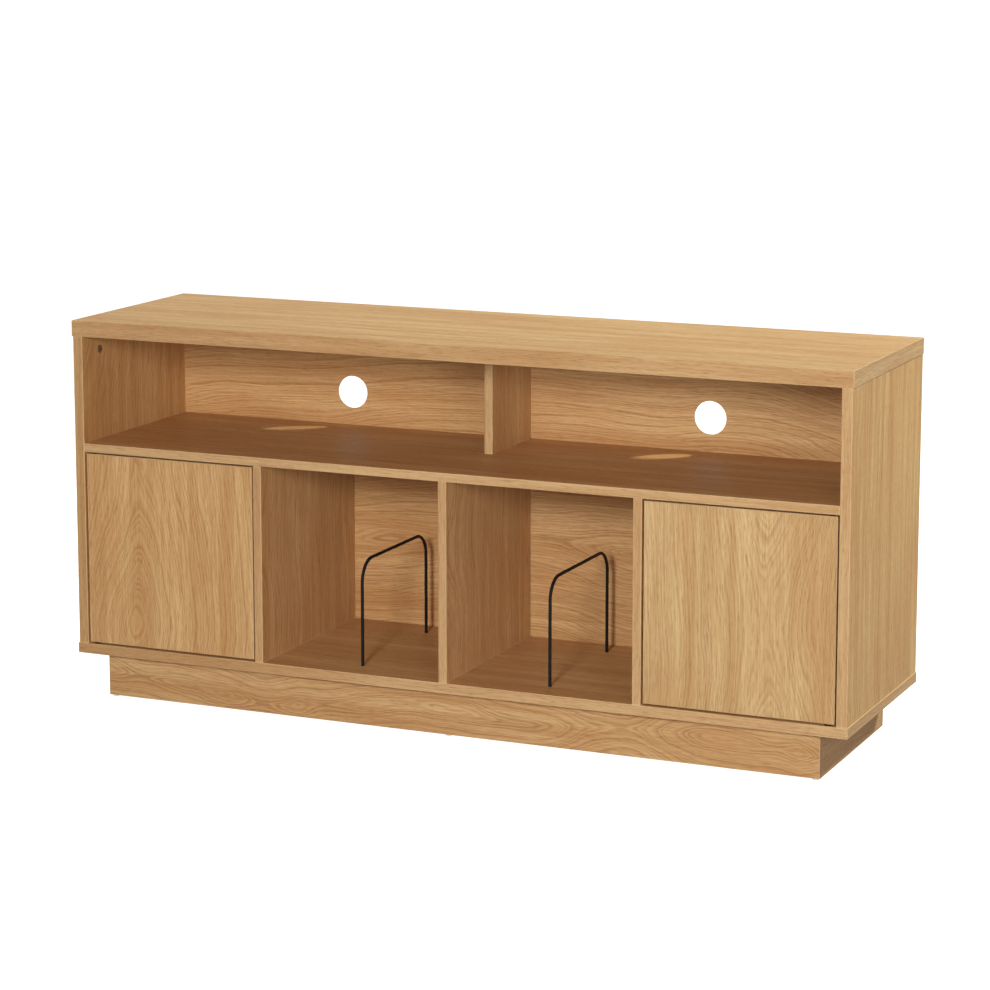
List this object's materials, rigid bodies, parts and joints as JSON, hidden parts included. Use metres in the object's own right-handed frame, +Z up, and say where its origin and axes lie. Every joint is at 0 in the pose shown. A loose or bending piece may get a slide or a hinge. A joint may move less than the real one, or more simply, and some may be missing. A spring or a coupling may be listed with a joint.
{
  "type": "media cabinet",
  "caption": "Low oak-effect media cabinet: open upper compartment with cable holes, open record bays with bent-wire dividers, push-to-open doors at the ends, recessed plinth.",
  "frame": {"origin": "middle of the footprint, on the floor under the glides", "axes": "+X towards the cabinet's right seen from the front, -Y out of the front, +Z up"},
  "size_m": [1.4, 0.39, 0.665],
  "materials": {
    "oak_laminate": "satin oak-effect laminate with matching edge band",
    "oak_backboard": "satin oak-effect printed board",
    "black_wire": "satin black powder coat",
    "steel": "bright zinc plate",
    "bronzed_steel": "bronzed",
    "zinc": "cast zinc alloy",
    "beech": "raw beech",
    "black_plastic": "matte",
    "grey_plastic": "matte",
    "white_plastic": "matte"
  },
  "bodies": {
    "carcass": {"top_panel": "oak_laminate", "bottom_panel": "oak_laminate", "side_left": "oak_laminate", "side_right": "oak_laminate", "shelf": "oak_laminate", "upper_divider": "oak_laminate", "divider_left": "oak_laminate", "divider_centre": "oak_laminate", "divider_right": "oak_laminate", "plinth_front": "oak_laminate", "plinth_back": "oak_laminate", "plinth_left": "oak_laminate", "plinth_right": "oak_laminate", "plinth_rail": "oak_laminate", "back_left": "oak_backboard", "back_right": "oak_backboard", "back_strip": "black_plastic", "plinth_brackets": "zinc", "cam_locks": "zinc", "bracket_screws": "steel", "cam_bolts": "steel", "base_screws": "steel", "latch_screws": "steel", "pivot_pins_left": "bronzed_steel", "pivot_pins_right": "bronzed_steel", "glides": "white_plastic", "record_wire_left": "black_wire", "record_wire_right": "black_wire", "dowels": "beech", "latch_left": "grey_plastic", "latch_right": "grey_plastic"},
    "door_left": {"door_left": "oak_laminate", "door_bushes_left": "grey_plastic", "strike_left": "steel"},
    "door_right": {"door_right": "oak_laminate", "door_bushes_right": "grey_plastic", "strike_right": "steel"},
    "latch_plunger_left": {"plunger_left": "black_plastic"},
    "latch_plunger_right": {"plunger_right": "black_plastic"}
  },
  "joints": [
    {"name": "door_left_hinge", "type": "hinge", "parent": "carcass", "child": "door_left", "pos_m": [-0.6655, -0.185, 0.266], "axis": [0, 0, -1], "range_deg": [0, 110]},
    {"name": "door_right_hinge", "type": "hinge", "parent": "carcass", "child": "door_right", "pos_m": [0.6655, -0.185, 0.266], "axis": [0, 0, 1], "range_deg": [0, 110]},
    {"name": "plunger_left_press", "type": "slide", "parent": "carcass", "child": "latch_plunger_left", "axis": [0, 1, 0], "range_m": [0, 0.0045], "stiffness_N_per_m": 300},
    {"name": "plunger_right_press", "type": "slide", "parent": "carcass", "child": "latch_plunger_right", "axis": [0, 1, 0], "range_m": [0, 0.0045], "stiffness_N_per_m": 300}
  ]
}
